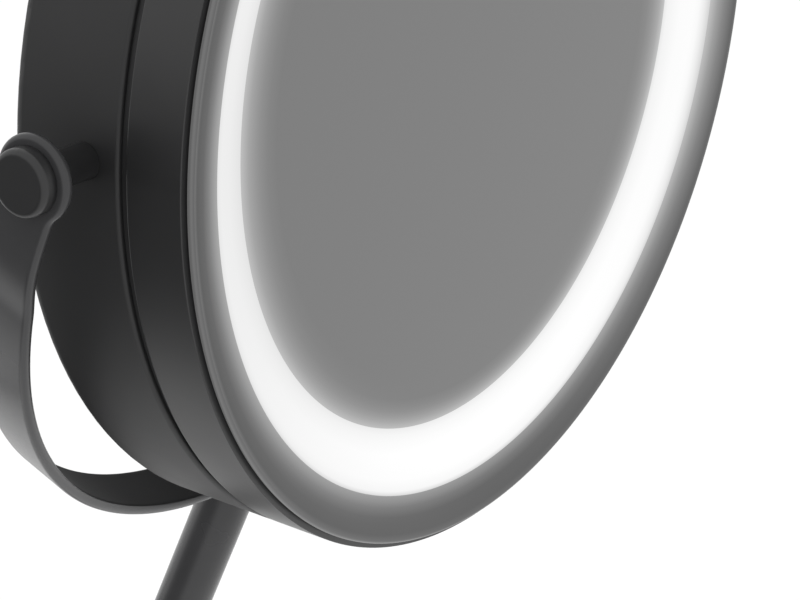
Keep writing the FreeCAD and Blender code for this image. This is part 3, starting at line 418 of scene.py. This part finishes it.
def powder_coat(name, base, roughness, specular=0.5):
    """A fine satin black powder coat: tiny soft pimples, and slightly uneven gloss."""
    m = Nodes(name)
    m.set(Specular_IOR_Level=specular)
    m.mottled((base, base, base * 1.04), 0.12, 90.0)
    m.link(m.spread(m.noise(60.0, 3.0), roughness - 0.03, roughness + 0.03), "Roughness")
    m.relief(2600.0, 0.1)
    return m


def plain(name, colour, roughness, metallic=0.0, scale=900.0, bump=0.15):
    """A moulded or machined finish with a fine grain."""
    m = Nodes(name)
    m.set(Metallic=metallic)
    m.mottled(colour, 0.06, scale / 10)
    m.link(m.spread(m.noise(scale / 15, 3.0), roughness - 0.05, roughness + 0.05), "Roughness")
    m.relief(scale, bump)
    return m.material


def brushed(name, colour, roughness):
    """Zinc-plated steel or bare aluminium, with fine turning marks about the piece's height."""
    m = Nodes(name)
    stretched = m.add("ShaderNodeVectorMath", {0: m.place, 1: (400, 400, 9000)}, operation="MULTIPLY")
    lines = m.add("ShaderNodeTexNoise", {"Vector": stretched.outputs[0], "Scale": 1.0, "Detail": 3.0})
    bump = m.add("ShaderNodeBump", {"Height": lines.outputs["Fac"], "Strength": 0.2, "Distance": 0.01 * MM})
    m.link(bump.outputs["Normal"], "Normal")
    m.link(m.spread(lines.outputs["Fac"], roughness - 0.08, roughness + 0.08), "Roughness")
    m.mottled(colour, 0.05, 200.0)
    m.set(Metallic=1.0)
    return m.material


def give(material, *pieces):
    for piece in pieces:
        piece = bpy.data.objects[piece] if isinstance(piece, str) else piece
        piece.data.materials.clear()
        piece.data.materials.append(material)


# ---------------------------------------------------------------- stage


# Reflections see a plain sky in place of the floor, with one dark area low at the back left.
DARK_SIDE = Vector((-0.7, 0.536, -0.45))
SKY_STRENGTH = 1.08
FLOOR_SIZE = 30.0
FLOOR_DROP = 0.4


def make_stage():
    size = FLOOR_SIZE
    level = cad_low[2] - FLOOR_DROP
    mesh = bpy.data.meshes.new("floor")
    corners = [(-size, -size, level), (size, -size, level), (size, size, level), (-size, size, level)]
    mesh.from_pydata(corners, [], [(0, 1, 2, 3)])
    floor = bpy.data.objects.new("floor", mesh)
    bpy.context.scene.collection.objects.link(floor)
    m = Nodes("floor")
    m.set(Base_Color=(0.95, 0.95, 0.95, 1.0), Roughness=0.9)
    mesh.materials.append(m.material)
    floor.visible_glossy = False
    world = bpy.data.worlds.new("World")
    world.use_nodes = True
    nodes, links = world.node_tree.nodes, world.node_tree.links
    background = nodes["Background"]
    background.inputs["Strength"].default_value = SKY_STRENGTH
    toward = nodes.new("ShaderNodeVectorMath")
    toward.operation = "DOT_PRODUCT"
    toward.inputs[1].default_value = DARK_SIDE.normalized()
    links.new(nodes.new("ShaderNodeTexCoord").outputs["Generated"], toward.inputs[0])
    dimmer = nodes.new("ShaderNodeMapRange")
    dimmer.interpolation_type = "SMOOTHSTEP"
    for name, value in (("From Min", 0.8), ("From Max", 0.97), ("To Min", 1.0), ("To Max", 0.1)):
        dimmer.inputs[name].default_value = value
    links.new(toward.outputs["Value"], dimmer.inputs["Value"])
    links.new(dimmer.outputs["Result"], background.inputs["Color"])
    bpy.context.scene.world = world


make_camera()
make_stage()
bpy.context.scene.view_settings.view_transform = "Standard"

black = powder_coat("satin_black", 0.014, 0.36).material
shell_black = powder_coat("shell_satin_black", 0.014, 0.5, specular=0.4).material
tube_black = powder_coat("tube_satin_black", 0.036, 0.26, specular=0.35).material
# A darker, duller copy of the strap's black: painted shade for the strap's inner face, under the head.
painted_shade_black = powder_coat("strap_inside_painted_shade", 0.012, 0.75, specular=0.1).material
FINISHES = {
    "satin_black_metal": black,
    "satin_black_cast": black,
    "circuit_board": plain("circuit_board", (0.72, 0.76, 0.72), 0.35),
    "led_chips": plain("led_chip", (0.9, 0.75, 0.35), 0.3),
    "white_plastic": plain("white_plastic", (0.8, 0.8, 0.79), 0.45),
    "black_plastic": plain("black_plastic", (0.025, 0.025, 0.026), 0.5, scale=2000.0, bump=0.4),
    "nylon": plain("nylon", (0.06, 0.06, 0.06), 0.45),
    "battery_wrap": plain("battery_wrap", (0.04, 0.14, 0.4), 0.25),
    "aluminium": brushed("aluminium", (0.75, 0.75, 0.76), 0.35),
    "steel": brushed("zinc_plated_steel", (0.55, 0.56, 0.58), 0.3),
    "mirror": black,
    "light_ring": black,
}
for part in frame["record"]["subparts"]:
    give(FINISHES[part["material_slot"]], part["node"])
give(shell_black, "rear_shell")
give(tube_black, "lower_arm_tube", "upper_arm_tube")

# ---------------------------------------------------------------- the mirror head

bezel = lathe(
    "bezel",
    rounded([
        (LIP_RADIUS, BEZEL_BASE, 0),
        (BEZEL_SKIRT, BEZEL_BASE, 0),
        (BEZEL_SKIRT, BEZEL_STEP_LOW, 0),
        (BEZEL_STEP_RADIUS, BEZEL_STEP_LOW, 0),
        (BEZEL_STEP_RADIUS, BEZEL_STEP_TOP, 0),
        (BEZEL_RADIUS, BEZEL_UNDERSIDE, 0.1),
        (BEZEL_RADIUS, BEZEL_CREST, 0.62),
        (LIP_RADIUS, LIP_HEIGHT, 0.08),
    ]),
    HEAD, "head", ["bezel_ring"])

# Painted light on the bezel: its emission paints the lit ring's glow spreading outward over the bezel, and a
# painted highlight along its outer edge, brighter to the right than to the left. The emission gradings are
# (radius in millimetres, strength) points, from the inside out.
bezel_painted_glow = powder_coat("bezel_black_painted_glow", 0.008, 0.34)
bezel_painted_glow.link(bezel_painted_glow.around(
    left=[
        (94.7, 0.29), (96.3, 0.21), (98.4, 0.1), (100.6, 0.022),
        (103.0, 0.0), (104.1, 0.07), (104.6, 0.12),
    ],
    ends=[
        (94.7, 0.24), (96.0, 0.18), (97.1, 0.114), (99.2, 0.056),
        (102.7, 0.05), (104.0, 0.08), (104.6, 0.15),
    ],
    right=[
        (94.7, 0.45), (96.1, 0.36), (97.3, 0.28), (99.7, 0.175),
        (103.3, 0.064), (104.0, 0.1), (104.6, 0.2),
    ],
), "Emission Color")
bezel_painted_glow.set(Emission_Strength=1.0)
give(bezel_painted_glow.material, bezel)

band = lathe(
    "drum_band",
    rounded([
        (BAND_FLANGE_INNER, BAND_BASE, 0),
        (GROOVE_FLOOR, BAND_BASE, 0),
        (GROOVE_FLOOR, GROOVE_TOP, 0),
        (DRUM_RADIUS, GROOVE_TOP, 0.5),
        (DRUM_RADIUS, BAND_TOP, 0.18),
        (BAND_INNER, BAND_TOP, 0),
        (BAND_INNER, BAND_FLANGE_TOP, 0),
        (BAND_FLANGE_INNER, BAND_FLANGE_TOP, 0),
    ]),
    HEAD, "head", ["frame_ring"])
give(black, band)

ring = lathe(
    "lit_ring",
    rounded([
        (GLASS_RADIUS, LIGHT_BACK, 0),
        (LIGHT_OUTER, LIGHT_BACK, 0),
        (LIGHT_OUTER, GLASS_FACE, 0),
        (LIGHT_EDGE, GLASS_FACE, 0),
        (LIGHT_EDGE, LIGHT_TOP, 0),
        (GLASS_RADIUS, GLASS_FACE, 0),
    ]),
    HEAD, "head", ["light_ring"])
lit = Nodes("lit_opal_painted_shade")
lit.set(
    Base_Color=(0.02, 0.02, 0.02, 1.0),
    Roughness=0.6,
    Specular_IOR_Level=0.0,
    Emission_Strength=1.0,
)
# The ring is a lamp, but its emission is graded with painted shade: dimmer all round on the left, and falling
# off towards its edges, most at the outer edge on the right.
lit.link(lit.around(
    left=[(81.2, 0.75), (84.0, 0.79), (88.0, 0.83), (92.5, 0.84), (94.65, 0.78)],
    ends=[
        (81.2, 0.84), (82.5, 0.92), (84.0, 0.96), (86.5, 1.0),
        (91.5, 0.98), (93.8, 0.92), (94.65, 0.68),
    ],
    right=[
        (81.2, 0.8), (82.2, 0.88), (86.0, 0.95), (90.0, 0.96),
        (91.5, 0.93), (93.0, 0.82), (94.65, 0.64),
    ],
), "Emission Color")
give(lit.material, ring)

glass = lathe(
    "silvered_glass",
    rounded([
        (0, GLASS_FACE - GLASS_THICK, 0),
        (GLASS_RADIUS, GLASS_FACE - GLASS_THICK, 0),
        (GLASS_RADIUS, GLASS_FACE - GLASS_CHAMFER, 0),
        (GLASS_RADIUS - GLASS_CHAMFER, GLASS_FACE, 0),
        (60.0, GLASS_FACE, 0),
        (0, GLASS_FACE, 0),
    ], closed=False),
    HEAD, "head", ["mirror_glass"], closed=False)
silver_painted_glow = Nodes("silver_painted_glow")
silver_painted_glow.set(
    Base_Color=(0.187, 0.187, 0.187, 1.0),
    Metallic=1.0,
    Roughness=0.03,
    Emission_Strength=1.0,
)
# Painted light on the mirror glass: emission paints the lit ring's glow spreading inward from its edge, wider
# to the left and right than at the top and bottom.
side_painted_glow = [
    (70.0, 0.0), (72.8, 0.02), (75.2, 0.06), (76.4, 0.09),
    (77.6, 0.125), (78.8, 0.165), (81.2, 0.31),
]
silver_painted_glow.link(silver_painted_glow.around(
    left=side_painted_glow,
    ends=[(74.8, 0.0), (76.4, 0.024), (77.5, 0.05), (78.6, 0.098), (79.7, 0.16), (81.2, 0.29)],
    right=side_painted_glow,
), "Emission Color")
give(silver_painted_glow.material, glass)

# ---------------------------------------------------------------- stem and fork


def paint_shade_inside(piece, material):
    """Gives a second material to the faces of a half-round strap that look to its centre, to paint shade on
    them.
    """
    piece.data.materials.append(material)
    for face in piece.data.polygons:
        centre = face.center / MM
        outward = Vector((centre.x, 0, min(centre.z, 0.0)))
        if face.normal.dot(outward) < -0.9 * outward.length:
            face.material_index = 1


fork = fork_strap(
    "fork_strap", STEM, FORK_RADIUS, FORK_THICK, FORK_WIDTH, FORK_EDGE_ROUND, FORK_END_RADIUS,
    "fork", ["fork_band"])
give(tube_black, fork)
paint_shade_inside(fork, painted_shade_black)
stem = tube_at_arc(
    "stem", STEM, STEM_RADIUS, STEM_WALL, STEM_LOW, FORK_RADIUS + FORK_THICK, STEM_BEAD,
    "fork", ["stem_tube"])
give(tube_black, stem)
